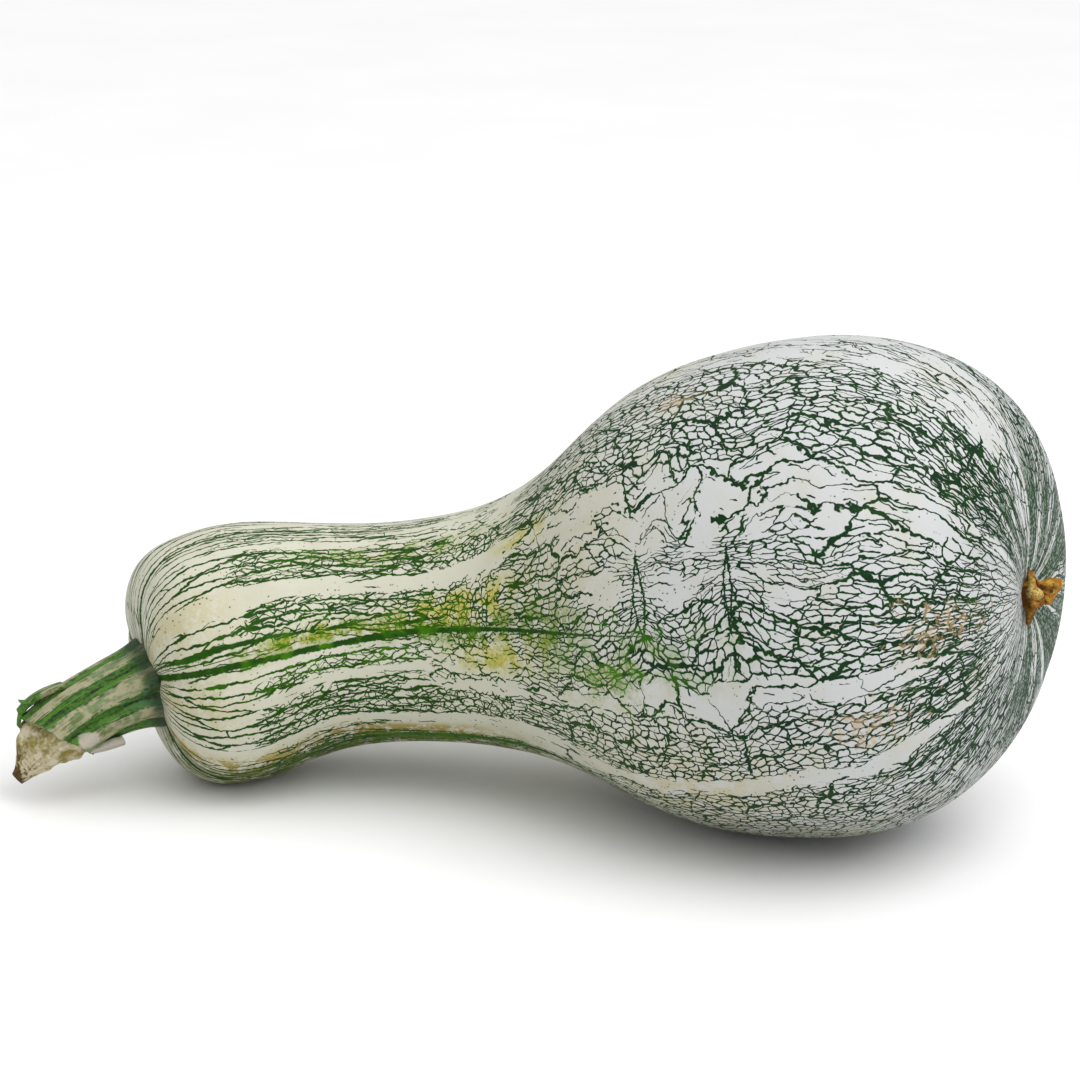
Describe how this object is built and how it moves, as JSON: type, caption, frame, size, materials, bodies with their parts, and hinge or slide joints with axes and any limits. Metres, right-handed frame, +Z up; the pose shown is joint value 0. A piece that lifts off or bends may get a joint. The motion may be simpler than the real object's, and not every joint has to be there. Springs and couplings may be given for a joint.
{
  "type": "cushaw squash",
  "caption": "Crook-necked winter squash lying on its side, with a round bowl, a thick striped neck, a ridged stem and a corky blossom scar.",
  "frame": {"origin": "under the middle of the squash, on the surface that it lies on", "axes": "+X along the squash from the stem end to the blossom end, +Z up"},
  "size_m": [0.4302, 0.2078, 0.2077],
  "materials": {
    "rind": "satin",
    "stem_bark": "matte",
    "cork": "matte"
  },
  "bodies": {
    "root": {"fruit": "rind", "stem": "stem_bark", "blossom_scar": "cork"}
  },
  "joints": []
}
